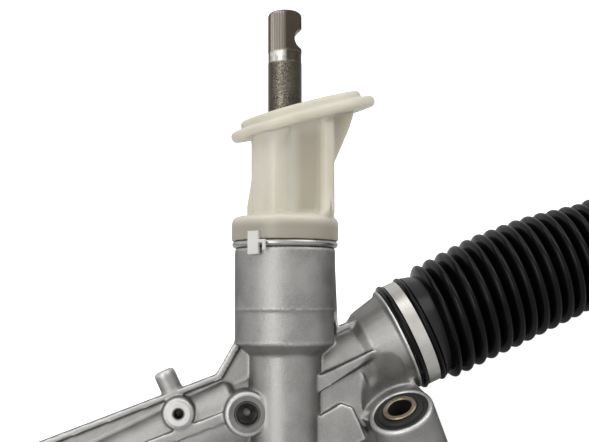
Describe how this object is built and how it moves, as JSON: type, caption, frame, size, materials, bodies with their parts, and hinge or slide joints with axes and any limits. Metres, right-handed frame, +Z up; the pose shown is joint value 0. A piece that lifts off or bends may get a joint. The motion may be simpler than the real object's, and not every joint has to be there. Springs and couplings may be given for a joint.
{
  "type": "steering rack",
  "caption": "Rack-and-pinion steering gear: cast housing on two bushed eyes, leaning pinion tower with a dust cover, sliding rack, ball-jointed tie rods and ribbed bellows.",
  "frame": {"origin": "midway between the two mounting bolts, on the plane that the bush sleeves stand on", "axes": "+X along the rack towards the pinion end, +Z up along the mounting bolts, -Y towards the front where the eyes stand out"},
  "size_m": [1.137, 0.1344, 0.2196],
  "materials": {
    "cast_aluminium": "die-cast, fine satin grain",
    "dark_steel": "phosphated, oiled",
    "ground_steel": "ground",
    "bearing_steel": "polished",
    "zinc_plate": "yellow zinc plate",
    "stainless": "bright rolled strip",
    "forged_steel": "black phosphate",
    "bellows_rubber": "satin black",
    "bush_rubber": "moulded, matte",
    "seal_rubber": "moulded",
    "cover_nylon": "natural nylon, satin",
    "clip_plastic": "white moulded",
    "seat_plastic": "acetal",
    "liner": "bronze-filled fluoropolymer"
  },
  "bodies": {
    "housing": {"rack_housing": "cast_aluminium", "pinion_needle_shell": "bearing_steel", "pinion_end_cap": "ground_steel", "pinion_bearing_outer_race": "bearing_steel", "bearing_lock_ring": "ground_steel", "pinion_seal": "seal_rubber", "dust_cover": "cover_nylon", "dust_cover_ring": "stainless", "ring_clip": "clip_plastic", "rack_bushing": "seat_plastic", "rack_bushing_orings": "seal_rubber", "yoke": "cast_aluminium", "yoke_liner": "liner", "yoke_oring": "seal_rubber", "yoke_spring": "dark_steel", "yoke_plug": "cast_aluminium", "yoke_lock_nut": "ground_steel", "right_mount_rubber": "bush_rubber", "right_mount_sleeve": "zinc_plate", "left_mount_rubber": "bush_rubber", "left_mount_sleeve": "zinc_plate", "right_bellows_band": "stainless", "left_bellows_band": "stainless", "right_bellows": "bellows_rubber", "left_bellows": "bellows_rubber"},
    "pinion": {"pinion_shaft": "dark_steel", "pinion_bearing_inner_race": "bearing_steel"},
    "bearing_balls": {"pinion_bearing_balls": "bearing_steel"},
    "needle_set": {"pinion_needle_rollers": "bearing_steel"},
    "rack": {"rack_bar": "ground_steel", "right_ball_socket": "forged_steel", "left_ball_socket": "forged_steel", "right_lock_washer": "ground_steel", "left_lock_washer": "ground_steel"},
    "right_ball_seat": {"right_ball_seat": "seat_plastic"},
    "right_tie_rod": {"right_tie_rod": "forged_steel", "right_jam_nut": "zinc_plate", "right_bellows_clip": "stainless"},
    "left_ball_seat": {"left_ball_seat": "seat_plastic"},
    "left_tie_rod": {"left_tie_rod": "forged_steel", "left_jam_nut": "zinc_plate", "left_bellows_clip": "stainless"}
  },
  "joints": [
    {"name": "rack_slide", "type": "slide", "parent": "housing", "child": "rack", "axis": [1, 0, 0], "range_m": [-0.07, 0.07], "deforming": ["right_bellows", "left_bellows"]},
    {"name": "pinion_spin", "type": "hinge", "parent": "housing", "child": "pinion", "pos_m": [0.1416, 0.02682, 0.05721], "axis": [0.4226, 0.4255, 0.8002], "range_deg": [-573.02, 573.02]},
    {"name": "bearing_balls_spin", "type": "hinge", "parent": "housing", "child": "bearing_balls", "pos_m": [0.1416, 0.02682, 0.05721], "axis": [0.4226, 0.4255, 0.8002], "range_deg": [-227.86, 227.86]},
    {"name": "needle_set_spin", "type": "hinge", "parent": "housing", "child": "needle_set", "pos_m": [0.1416, 0.02682, 0.05721], "axis": [0.4226, 0.4255, 0.8002], "range_deg": [-245.61, 245.61]},
    {"name": "right_rod_swing", "type": "hinge", "parent": "rack", "child": "right_ball_seat", "pos_m": [0.3005, 0.04, 0.0502], "axis": [0, 1, 0], "range_deg": [-18, 18]},
    {"name": "right_rod_sweep", "type": "hinge", "parent": "right_ball_seat", "child": "right_tie_rod", "pos_m": [0.3005, 0.04, 0.0502], "axis": [0, 0, 1], "range_deg": [-10, 10]},
    {"name": "left_rod_swing", "type": "hinge", "parent": "rack", "child": "left_ball_seat", "pos_m": [-0.3005, 0.04, 0.0502], "axis": [0, 1, 0], "range_deg": [-18, 18]},
    {"name": "left_rod_sweep", "type": "hinge", "parent": "left_ball_seat", "child": "left_tie_rod", "pos_m": [-0.3005, 0.04, 0.0502], "axis": [0, 0, 1], "range_deg": [-10, 10]}
  ],
  "couplings": [
    {"joint": "pinion_spin", "follows": "rack_slide", "rad_per_m": -142.86},
    {"joint": "bearing_balls_spin", "follows": "rack_slide", "rad_per_m": -56.797},
    {"joint": "needle_set_spin", "follows": "rack_slide", "rad_per_m": -61.224}
  ]
}
